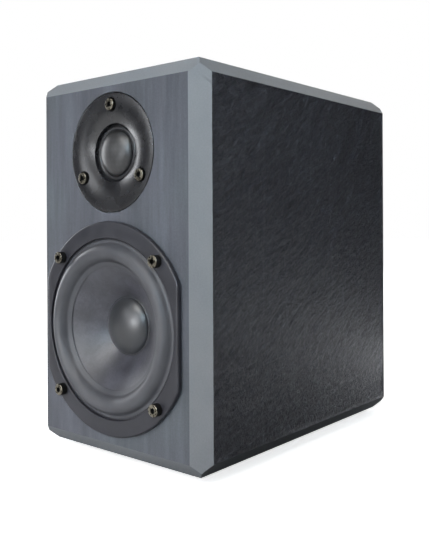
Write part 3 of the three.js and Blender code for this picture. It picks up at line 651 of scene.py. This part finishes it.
# Depths grow from the baffle's face into the cabinet, so what stands proud of it is below 0.
RIM_RADIUS = 61.8
RIM_FLAT = 55.0  # from the axis to each of the rim's two cut sides
RIM_FACE = -3.2
RIM_SEAT = -0.65
WOOFER_HOLE = 50.5
SCREW_CIRCLE = 56.5
RECESS = 52.1
LEDGE = -1.4  # depth of the ledge that the surround's flange lies on
CONE_RADIUS = 36.9
CONE_NECK = 13.1
CONE_SLOPE = 0.735
CAP_RADIUS = 17.0


def woofer_frame():
    """Cast frame: a flat rim with two cut sides, a recess for the surround, and a basket behind."""
    profile = [
        (RIM_RADIUS, RIM_FACE), (RIM_RADIUS, RIM_SEAT), (49.8, RIM_SEAT), (49.8, 9.5), (36.2, 24.5),
        (36.2, 31.9), (17.0, 31.9), (17.0, 29.9), (31.0, 29.9), (31.0, 26.0), (34.0, 26.0), (34.0, 23.9),
        (47.6, 8.9), (47.6, LEDGE), (RECESS, LEDGE), (RECESS, RIM_FACE),
    ]
    rim_edge, recess_edge = 0, len(profile) - 1
    shape = profile_turned(profile, 192, {rim_edge: 1.7, recess_edge: 0.9, 3: 2.0, 4: 2.0})
    for vert in shape.verts:
        radius = math.hypot(vert.co.x, vert.co.z)
        if radius > RIM_FLAT:
            limit = RIM_FLAT - (RIM_RADIUS - radius)
            vert.co.x = max(-limit, min(limit, vert.co.x))
    basket = loose_object("driver_frame", shape, FRAME_PAINT)
    windows = []
    for quarter in range(4):
        window = box_shape((-21, 3, 27), (21, 20.5, 52))  # through the basket's slope, between two arms
        bevel_edges(window, window.edges, 3.0, 3)
        turn_about(window, "Y", math.pi / 2 * quarter)
        windows.append(window)
    carve(basket, *windows)
    set_in_place(basket, woofer_place, "cabinet", ["woofer_frame"])


def woofer_surround():
    """Rubber half roll, with a flange in the frame's recess and a lip glued on the cone's edge."""
    count = 28
    inner, start, end, outer = 35.5, 38.2, 49.4, 51.0
    lip, flange, rise, thickness = -1.05, -1.8, 4.8, 0.7
    steepness, roundness = 0.045, 0.92  # of the roll's flanks, and of its crown
    roll = []
    for i in range(count + 1):
        t = i / count
        radius = start + (end - start) * (t - steepness * math.sin(FULL_TURN * t))
        roll.append((radius, lip + (flange - lip) * t - rise * math.sin(math.pi * t) ** roundness))
    lip_fall = (start - inner) * CONE_SLOPE * 0.5
    front = [(inner, lip + lip_fall), (inner + 0.3, lip + lip_fall - 0.35), (start - 0.4, lip), *roll[1:-1],
             (end + 0.5, flange), (outer, flange)]
    shape = profile_turned(front + back_of(front[1:], thickness), 192)
    surround = piece("driver_surround", shape, woofer_place, None, RUBBER, ["woofer_surround"],
                     angle=50)
    bend_round_axis(surround, "woofer_diaphragm", woofer_place, end, start)


def cone_depth(radius):
    """Depth of the cone's face, which bulges a little towards the front between its neck and its edge."""
    edge, bulge = -0.3, 0.9
    t = (radius - CONE_NECK) / (CONE_RADIUS - CONE_NECK)
    return edge + (CONE_RADIUS - radius) * CONE_SLOPE - bulge * math.sin(math.pi * t)


def woofer_cone():
    count = 24
    radii = [CONE_NECK + (CONE_RADIUS - CONE_NECK) * i / count for i in range(count + 1)]
    front = [(radius, cone_depth(radius)) for radius in radii]
    shape = profile_turned(front + back_of(front, 0.9), 160)
    piece("driver_cone", shape, woofer_place, "woofer_diaphragm", CONE, ["woofer_cone"],
          angle=50)


def dome_line(radius, seat, rise, roundness, count):
    """The front of a dome, from its tip on the axis to its edge at seat."""
    front = []
    for i in range(count + 1):
        angle = math.pi / 2 * i / count
        front.append((radius * math.sin(angle), seat - rise * math.cos(angle) ** roundness))
    return front


def dust_cap():
    """Pressed dome over the coil, glued to the cone with a fine bead."""
    seat = cone_depth(CAP_RADIUS) - 0.85
    front = dome_line(CAP_RADIUS, seat, 6.4, 1.3, 22)
    shape = profile_turned(front + back_of(front, 0.8), 128)
    piece("dust_cap", shape, woofer_place, "woofer_diaphragm", CAP, ["woofer_dust_cap"],
          angle=50)
    sides, radius, half_width, half_height = 12, CAP_RADIUS + 0.2, 0.55, 0.45
    angles = [FULL_TURN * i / sides for i in range(sides)]
    ring = [(radius + half_width * math.cos(angle), seat + half_height * (1 + math.sin(angle)))
            for angle in angles]
    bead = profile_turned(ring, 128)
    piece("cap_glue_bead", bead, woofer_place, "woofer_diaphragm", CAP, angle=60)


def woofer_spider():
    """Corrugated cloth that centres the coil: its collar rides on the former, its rim stays in the basket."""
    collar, rim, outer, rest, wave, waves = 14.6, 31.0, 33.7, 25.35, 1.0, 4
    count = 12 * waves
    front = [(CONE_NECK, rest), (collar, rest)]
    for i in range(1, count):
        t = i / count
        front.append((collar + (rim - collar) * t, rest - wave * math.sin(FULL_TURN * waves * t)))
    front += [(rim, rest), (outer, rest)]
    shape = profile_turned(front + back_of(front, 0.55), 96)
    disc = piece("centring_spider", shape, woofer_place, None, KRAFT, ["woofer_spider"], angle=60)
    bend_round_axis(disc, "woofer_diaphragm", woofer_place, rim, collar)


# -------- tweeter

PLATE_RADIUS = 34.4
REBATE_GAP = 0.6
PLATE_THICKNESS = 4.0
BOSS_RADIUS = 20.8
THROAT = 17.2
TWEETER_SCREW_CIRCLE = 27.8
COUNTERBORE_RADIUS = 4.3
COUNTERBORE_DEPTH = 2.6
DOME_RADIUS = 13.3
DOME_SEAT = 4.9


def tweeter_plate():
    """Round plate, let in flush, that dishes towards the throat round the dome."""
    face, rear, throat_depth, boss_end, flare = -0.1, 3.9, 2.8, 5.4, 30.8
    shares = [i / 20 for i in range(21)]
    dish = [(flare - (flare - THROAT) * t, face + (throat_depth - face) * t ** 2.0) for t in shares]
    profile = [(PLATE_RADIUS, face), *dish, (THROAT, boss_end), (BOSS_RADIUS, boss_end),
               (BOSS_RADIUS, rear), (PLATE_RADIUS, rear)]
    plate = loose_object("tweeter_plate", profile_turned(profile, 192, {0: 0.6}), PLATE_PAINT)
    carve(plate, *[bar_along_y(COUNTERBORE_RADIUS, -2, COUNTERBORE_DEPTH, 48, place)
                   for place in on_circle(TWEETER_SCREW_CIRCLE, 3, 90)])
    set_in_place(plate, tweeter_place, "cabinet", ["tweeter_faceplate"], angle=28)


def tweeter_dome():
    front = dome_line(DOME_RADIUS, DOME_SEAT, 5.6, 1.15, 20)
    shape = profile_turned(front + back_of(front, 0.5), 128)
    piece("silk_dome", shape, tweeter_place, "tweeter_diaphragm", DOME, ["tweeter_dome"],
          angle=60)


def tweeter_surround():
    """Small half roll between the dome and a flange that the plate's boss clamps."""
    start, end, outer, flange, rise = 13.4, 16.4, 18.8, 5.45, 1.1
    count = 12
    front = []
    for i in range(count + 1):
        t = i / count
        depth = DOME_SEAT + (flange - DOME_SEAT) * t - rise * math.sin(math.pi * t)
        front.append((start + (end - start) * t, depth))
    front.append((outer, flange))
    shape = profile_turned(front + back_of(front, 0.4), 128)
    roll = piece("tweeter_roll", shape, tweeter_place, None, TWEETER_RUBBER, ["tweeter_surround"],
                 angle=60)
    bend_round_axis(roll, "tweeter_diaphragm", tweeter_place, end, start)


# -------- fasteners

HEAD_GAP = 0.05  # left under a screw's head


def cap_screw(name, place, length, node, origin):
    """Socket cap screw: knurled head with an eased edge and a hexagon socket."""
    head_height, socket_depth = 4.0, 2.0
    head, shank, key, knurls, knurl_depth = 3.5, 1.95, 1.5, 30, 0.12
    socket_radius = key / math.cos(math.pi / 6)
    profile = [(0, -head_height), (head, -head_height), (head, 0), (shank, 0), (shank, length - 0.6),
               (shank - 0.5, length), (0, length)]
    shape = profile_turned(profile, 2 * knurls, {1: 0.8})
    for vert in shape.verts:
        turn = math.atan2(vert.co.z, vert.co.x) / FULL_TURN * 2 * knurls
        if math.hypot(vert.co.x, vert.co.z) > head - 0.01 and round(turn) % 2:
            vert.co.x *= 1 - knurl_depth / head
            vert.co.z *= 1 - knurl_depth / head
    # Faces that look sideways, the head's knurled side and the shank, take the near-black finish: painted
    # shade on the head's side.
    for face in shape.faces:
        face.material_index = int(abs(face.normal.y) < 0.3)
    move(shape, place[0], 0, place[1])
    screw = loose_object(name, shape, BRONZE, PAINTED_SHADE_SOCKET)
    # The carved socket's walls take the near-black finish too: painted shade in the recess.
    socket = bar_along_y(socket_radius, -head_height - PAST, -head_height + socket_depth, 6, place)
    carve(screw, socket)
    set_in_place(screw, origin, "cabinet", [node], angle=30)


def driver_screws():
    seat = Vector((0, (RIM_FACE - HEAD_GAP) * MM, 0))
    for i, place in enumerate(on_circle(SCREW_CIRCLE, 4, 45), 1):
        cap_screw(f"frame_screw_{i}", place, 13, f"woofer_screw_{i}", woofer_place + seat)
    seat = Vector((0, (COUNTERBORE_DEPTH - HEAD_GAP) * MM, 0))
    for i, place in enumerate(on_circle(TWEETER_SCREW_CIRCLE, 3, 90), 1):
        cap_screw(f"plate_screw_{i}", place, 10, f"tweeter_screw_{i}", tweeter_place + seat)


# -------- rear

PORT_BORE = 16.5
PORT_MOUTH = 24.0
PORT_ROOM = 2.4  # from the mouth's edge to the hole in the rear slab
LYING_ON = 0.05  # how far a piece on the rear slab starts behind its face


def port():
    """Reflex port with a rolled mouth, in one moulding."""
    outside, wall, flange, length = 2.55, 2.0, 32.0, 105
    mouth_depth, count = 8.5, 18
    flare = []
    for i in range(count + 1):
        angle = math.pi / 2 * i / count
        flare.append((PORT_MOUTH - (PORT_MOUTH - PORT_BORE) * math.sin(angle),
                      outside - mouth_depth * (1 - math.cos(angle))))
    back_of_flare = [(radius + wall, depth) for radius, depth in reversed(flare) if depth < -0.3]
    profile = [(flange, outside), *flare, (PORT_BORE, outside - length), (PORT_BORE + wall, outside - length),
               *back_of_flare, (PORT_MOUTH + wall, LYING_ON), (flange, LYING_ON)]
    piece("reflex_port", profile_turned(profile, 128, {0: 1.6}), port_place, "cabinet",
          BLACK_PLASTIC, ["port_tube"], angle=40)


def feet():
    """Four short rubber feet, a little narrower on the floor, where their edge is eased."""
    low_radius, top_radius, height = 6.2, 7.0, 2.45
    for corner in ("front_left", "front_right", "rear_left", "rear_right"):
        node = f"foot_{corner}"
        place = middle(node)
        place.z = 0
        shape = bmesh.new()
        bmesh.ops.create_cone(shape, cap_ends=True, segments=64, radius1=low_radius, radius2=top_radius,
                              depth=height)
        move(shape, 0, 0, height / 2)
        low_rim = [edge for edge in shape.edges if edge.calc_face_angle(0) > 1 and edge.verts[0].co.z < 1]
        bevel_edges(shape, low_rim, 0.6, 3)
        piece(f"rubber_foot_{corner}", shape, place, "cabinet", SOFT_RUBBER, [node])


# Depths on the back grow from the rear slab's face outwards.
POST_SPACING = 19.05
POST_CLEARANCE = 3.15  # radius of whatever goes round a post
PLATE_FACE = 3.05
COLLAR_TOP = 5.1
KNOB_START = 6.39
KNOB_END = 21.39
COVER_SCREWS = ((-35, 18), (35, 18), (-35, -18), (35, -18))
CLAMP_SIDES = (("red", 1), ("black", -1))


def clamp_place(side):
    return terminal_place + Vector((side * POST_SPACING / 2 * MM, 0, 0))


def terminal_plate():
    """Moulded plate with round corners, an eased rim, and holes for two posts and four screws."""
    half_width, half_height = 40, 23
    shape = box_shape((-half_width, LYING_ON, -half_height), (half_width, PLATE_FACE, half_height))
    corners = [edge for edge in shape.edges if abs(edge.verts[0].co.y - edge.verts[1].co.y) > 1]
    bevel_edges(shape, corners, 4.0, 8)
    rim = [edge for edge in shape.edges if all(vert.co.y > PLATE_FACE - 0.01 for vert in edge.verts)]
    bevel_edges(shape, rim, 0.9, 4)
    plate = loose_object("terminal_cover", shape, BLACK_PLASTIC)
    start, end = -PAST, 5
    cuts = [bar_along_y(1.5, start, end, 24, place) for place in sorted(COVER_SCREWS)]
    for _, side in CLAMP_SIDES:
        cuts.append(bar_along_y(POST_CLEARANCE, start, end, 48, (side * POST_SPACING / 2, 0)))
    carve(plate, *cuts)
    set_in_place(plate, terminal_place, "cabinet", ["terminal_plate"])


def pan_screw(name, place, node):
    """Small pan head screw with a cross recess."""
    top, seat, head, shank, tip = 4.84, PLATE_FACE + 0.02, 2.7, 1.3, -6.9
    threads, pitch, first_thread = 7, 1.2, 2.4
    profile = [(0, top), (1.2, top - 0.08), (2.1, top - 0.5), (head, top - 1.3), (head, seat), (shank, seat)]
    for i in range(threads):
        depth = first_thread - i * pitch
        profile += [(shank, depth), (shank - 0.3, depth - 0.45), (shank, depth - 0.9)]
    profile += [(shank - 0.5, tip + 0.7), (0, tip)]
    shape = profile_turned(profile, 36)
    move(shape, place[0], 0, place[1])
    screw = loose_object(name, shape, ZINC)
    reach, half_slot, recess_depth = 1.35, 0.28, 0.9
    recess = []
    for turn in (math.radians(20), math.radians(110)):
        arm = box_shape((-reach, top - recess_depth, -half_slot), (reach, top + PAST, half_slot))
        turn_about(arm, "Y", turn)
        move(arm, place[0], 0, place[1])
        recess.append(arm)
    carve(screw, *recess)
    set_in_place(screw, terminal_place, "cabinet", [node])


def cover_screws():
    for i, place in enumerate(COVER_SCREWS, 1):
        pan_screw(f"cover_screw_{i}", place, f"terminal_plate_screw_{i}")


def binding_posts():
    """Gilt posts with a rolled thread, a collar against the plate, and a plug bore in the outer end."""
    shank, groove, pitch, collar, bore, start, end = 3.0, 2.75, 0.7, 6.2, 2.05, -13.96, KNOB_END - 0.6
    ease, lip, bore_depth = 0.4, 0.3, 14
    collar_start = PLATE_FACE + LYING_ON
    profile = [(0, start), (groove, start), (shank, start + ease), (shank, collar_start),
               (collar, collar_start), (collar, COLLAR_TOP), (shank, COLLAR_TOP)]
    depth = COLLAR_TOP + ease
    while depth + pitch < end - 0.5:
        profile += [(shank, depth), (groove, depth + pitch / 2)]
        depth += pitch
    profile += [(shank, end - ease), (shank - ease, end), (bore + lip, end), (bore, end - lip),
                (bore, end - bore_depth), (0, end - bore_depth - 0.8)]
    for colour, side in CLAMP_SIDES:
        post = profile_turned(profile, 64, {4: 0.5, 5: 0.5})
        piece(f"{colour}_post", post, clamp_place(side), "cabinet", GOLD, [f"binding_post_{colour}"])


def clamp_washers():
    start, end, radius = COLLAR_TOP + 0.05, COLLAR_TOP + 1.25, 7.0
    profile = [(POST_CLEARANCE, start), (radius, start), (radius, end), (POST_CLEARANCE, end)]
    for colour, side in CLAMP_SIDES:
        washer = profile_turned(profile, 72, {1: 0.5, 2: 0.5})
        piece(f"{colour}_washer_ring", washer, clamp_place(side), f"{colour}_washer", GOLD,
              [f"clamp_washer_{colour}"])


def clamp_knobs():
    """Moulded caps with ten finger ribs, a plain skirt and a funnel for the plug."""
    ribs, low, crest, skirt_end = 10, 7.35, 8.0, KNOB_START + 2.4
    profile = [(POST_CLEARANCE, KNOB_START), (crest, KNOB_START), (crest, skirt_end),
               (low, skirt_end + 0.25), (low, KNOB_END - 1.6), (low, KNOB_END - 1.0), (low - 0.9, KNOB_END),
               (4.6, KNOB_END), (POST_CLEARANCE, KNOB_END - 3.5)]
    for (colour, side), plastic in zip(CLAMP_SIDES, (RED_PLASTIC, BLACK_PLASTIC)):
        shape = profile_turned(profile, 120, {1: 0.6, 2: 0.4, 6: 0.5, 7: 0.4})
        for vert in shape.verts:
            radius = math.hypot(vert.co.x, vert.co.z)
            if radius > low - 0.1 and skirt_end + 0.2 < vert.co.y < KNOB_END - 0.5:
                wave = 0.5 + 0.5 * math.cos(ribs * math.atan2(vert.co.z, vert.co.x))
                grown = 1 + (crest - low) * wave ** 1.5 / radius
                vert.co.x *= grown
                vert.co.z *= grown
        piece(f"{colour}_cap", shape, clamp_place(side), f"{colour}_knob", plastic,
              [f"terminal_knob_{colour}"], angle=38)


def hex_nuts():
    corner, height = 5.6, 4.5
    for colour, side in CLAMP_SIDES:
        shape = bar_along_y(corner, -height, 0, 6)
        bevel_edges(shape, shape.edges, 0.3)
        nut = loose_object(f"{colour}_nut", shape, ZINC)
        carve(nut, bar_along_y(POST_CLEARANCE, -6, PAST, 48))
        set_in_place(nut, clamp_place(side), "cabinet", [f"post_nut_{colour}"])


def damping_pad():
    """A batt of wool, crowned between its edges, with a soft uneven face and a sewn line round its rim.

    u, v and w run from -1 to 1 along Y, Z and X, and w is above 0 on the soft face.
    """
    low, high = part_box("damping_pad")
    low, high = low / MM, high / MM
    centre, size = (low + high) / 2, high - low
    edge_thickness, sewn_line, sewn_width, sewn_dip, tuft_height = 0.3, 0.88, 0.03, 0.35, 0.09
    shape = bmesh.new()
    bmesh.ops.create_cube(shape, size=1.0)
    bmesh.ops.subdivide_edges(shape, edges=shape.edges, cuts=39, use_grid_fill=True)
    for vert in shape.verts:
        u, v, w = 2 * vert.co.y, 2 * vert.co.z, 2 * vert.co.x
        edge = (1 - abs(u) ** 8) * (1 - abs(v) ** 8)
        crown = edge_thickness + (1 - edge_thickness) * max(0.0, edge) ** 0.35
        stitch = 1 - sewn_dip * math.exp(-((max(abs(u), abs(v)) - sewn_line) / sewn_width) ** 2)
        tuft = 1 + tuft_height * noise.fractal(Vector((u * 3, v * 3.6, 2.0)), 0.8, 2.0, 4)
        thick = w * crown * stitch * tuft if w > 0 else w * (0.9 * crown + 0.1)
        pull = 1 - 0.025 * (1 - abs(v) ** 2) * abs(u) ** 4
        rise = 1 - 0.02 * (1 - abs(u) ** 2) * abs(v) ** 4
        vert.co = Vector((size.x / 2 * min(1.0, thick), size.y / 2 * u * pull, size.z / 2 * v * rise))
    obj = loose_object("wool_batt", shape, WOOL)
    set_in_place(obj, centre * MM, "cabinet", ["damping_pad"], angle=80)


# -------- stage

def stage():
    scene = bpy.context.scene
    camera_data = bpy.data.cameras.new("camera")
    camera_data.lens = 48.32
    camera_data.sensor_width = 36
    camera_data.shift_x = 0.0049
    camera_data.shift_y = -0.083
    camera = bpy.data.objects.new("camera", camera_data)
    camera.location = (0.3129, -0.3949, 0.1380)
    heading, upright, roll = math.radians(40.01), math.radians(90), math.radians(-0.265)
    turned = Matrix.Rotation(heading, 3, "Z") @ Matrix.Rotation(upright, 3, "X")
    camera.rotation_euler = (turned @ Matrix.Rotation(roll, 3, "Z")).to_euler()
    scene.collection.objects.link(camera)
    scene.camera = camera

    floor = bmesh.new()
    bmesh.ops.create_circle(floor, cap_ends=True, radius=6.0, segments=96)
    ground = loose_object("floor", floor, pale_floor())
    ground.data.transform(Matrix.Translation((0, 0, -0.1 * MM)))  # clear of the undersides of the feet

    world = bpy.data.worlds.new("studio")
    world.use_nodes = True
    scene.world = world
    tree = world.node_tree
    background = tree.nodes["Background"]
    is_camera = add(tree, "LightPath").outputs["Is Camera Ray"]
    background.inputs["Color"].default_value = (1, 1, 1, 1)
    tree.links.new(levels(tree, is_camera, 0.04, 1.0), background.inputs["Strength"])

    neutral, cool, pale_blue = (1.0, 0.985, 0.96), (0.945, 0.965, 1.0), (0.68, 0.86, 1.0)
    softbox("key", (0.05, -1.2, 1.05), 0.7, 0.5, 7.8, neutral)
    softbox("left_front", (-0.66, -1.2, 0.47), 0.35, 0.4, 1.5, cool)
    softbox("front_card", (0.03, -1.2, 0.30), 0.2, 0.2, 1.4, cool)
    softbox("chamfer_spot", (0.55, -1.0, 0.60), 0.3, 0.3, 0.27, pale_blue, (0.066, -0.112, 0.27), spread=30)
    softbox("low_spot", (-0.15, -0.95, 0.10), 0.3, 0.2, 0.14, cool, (-0.03, -0.112, -0.03), spread=28)
    softbox("camera_card", (0.8, -1.2, 0.50), 0.2, 0.2, 0.35, pale_blue)
    softbox("left_strip", (-1.2, -0.15, 0.3), 0.5, 0.8, 7.0, cool)
    softbox("right_wall", (1.5, -0.1, 0.4), 0.5, 0.5, 1.0, cool)
    softbox("side_rake", (0.42, -0.55, 1.0), 0.15, 0.15, 2.3, neutral, (0.069, 0, 0.15))
    softbox("low_rim", (0.125, 0.20, 0.012), 0.08, 0.015, 0.06, cool, (0.069, 0.09, 0.02))
    softbox("back_fill", (-0.5, 1.4, 0.9), 0.8, 0.6, 7, neutral)
    scene.view_settings.view_transform = "Standard"


def pale_floor():
    """White to look at, with a faint contact shadow.

    It throws light up in front of the speaker, hardly any beside it and a little behind.
    """
    material, tree, shader = new_material("pale_floor", Roughness=0.7)
    here = add(tree, "TexCoord").outputs["Object"]
    seen = add(tree, "LightPath").outputs["Is Camera Ray"]
    depth = add(tree, "SeparateXYZ", {"Vector": here}).outputs["Y"]
    flagged = ramp(tree, levels(tree, depth, 0, 1, -0.3, 0.3), (0.26, grey(0.9)), (0.33, grey(0.06)),
                   (0.72, grey(0.06)), (0.9, grey(0.3)))
    colour = mixed(tree, seen, flagged, (0.86, 0.86, 0.86, 1))
    tree.links.new(colour, shader.inputs["Base Color"])
    distance = add(tree, "VectorMath", {0: here}, operation="LENGTH").outputs["Value"]
    glow = add(tree, "Math", {0: levels(tree, distance, 0.74, 1.0, 0.2, 0.9), 1: seen}, operation="MULTIPLY")
    emission = add(tree, "Emission", {"Color": (1, 1, 1, 1), "Strength": glow.outputs["Value"]})
    both = add(tree, "AddShader", {0: shader.outputs["BSDF"], 1: emission.outputs["Emission"]})
    tree.links.new(both.outputs["Shader"], tree.nodes["Material Output"].inputs["Surface"])
    return material


def softbox(name, place, width, height, power, colour, target=(0, 0, 0.11), spread=180):
    """A rectangular lamp aimed at target. A spread in degrees below 180 makes its beam narrower."""
    light = bpy.data.lights.new(name, "AREA")
    light.shape = "RECTANGLE"
    light.size = width
    light.size_y = height
    light.energy = power
    light.color = colour
    light.spread = math.radians(spread)
    lamp = bpy.data.objects.new(name, light)
    lamp.location = place
    lamp.rotation_euler = (Vector(target) - Vector(place)).to_track_quat("-Z", "Y").to_euler()
    lamp.visible_camera = False
    bpy.context.scene.collection.objects.link(lamp)


# -------- the assembly

def paint(material, *names):
    for name in names:
        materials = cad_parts[name].data.materials
        materials.clear()
        materials.append(material)


def finish_kept_nodes():
    """CAD nodes that stay as they are get their finishes."""
    paint(SOFT_RUBBER, "woofer_gasket")
    paint(KRAFT, "woofer_coil_former")
    paint(ZINC, "woofer_top_plate", "woofer_yoke", "tweeter_top_plate", "tweeter_magnet", "tweeter_yoke")
    paint(FERRITE, "woofer_magnet")
    paint(GOLD, "woofer_tag_strip", "tweeter_tag_strip")
    paint(BOARD, "crossover_board")
    paint(FILM, "large_capacitor", "small_capacitor")
    paint(CERAMIC, "power_resistor")
    round_y, round_z = (0, 0, math.radians(90)), (0, math.radians(90), 0)
    coils = {"woofer_coil_winding": round_y, "tweeter_voice_coil": round_y, "woofer_choke": round_z,
             "tweeter_choke": round_z}
    for name, turn in coils.items():
        paint(wound_wire(name + "_wire", middle(name), turn), name)


stage()
side_walls()
honed_baffle()
rear_slab()
woofer_frame()
woofer_surround()
woofer_cone()
dust_cap()
woofer_spider()
tweeter_plate()
tweeter_surround()
tweeter_dome()
driver_screws()
port()
terminal_plate()
cover_screws()
binding_posts()
clamp_washers()
clamp_knobs()
hex_nuts()
damping_pad()
feet()
finish_kept_nodes()
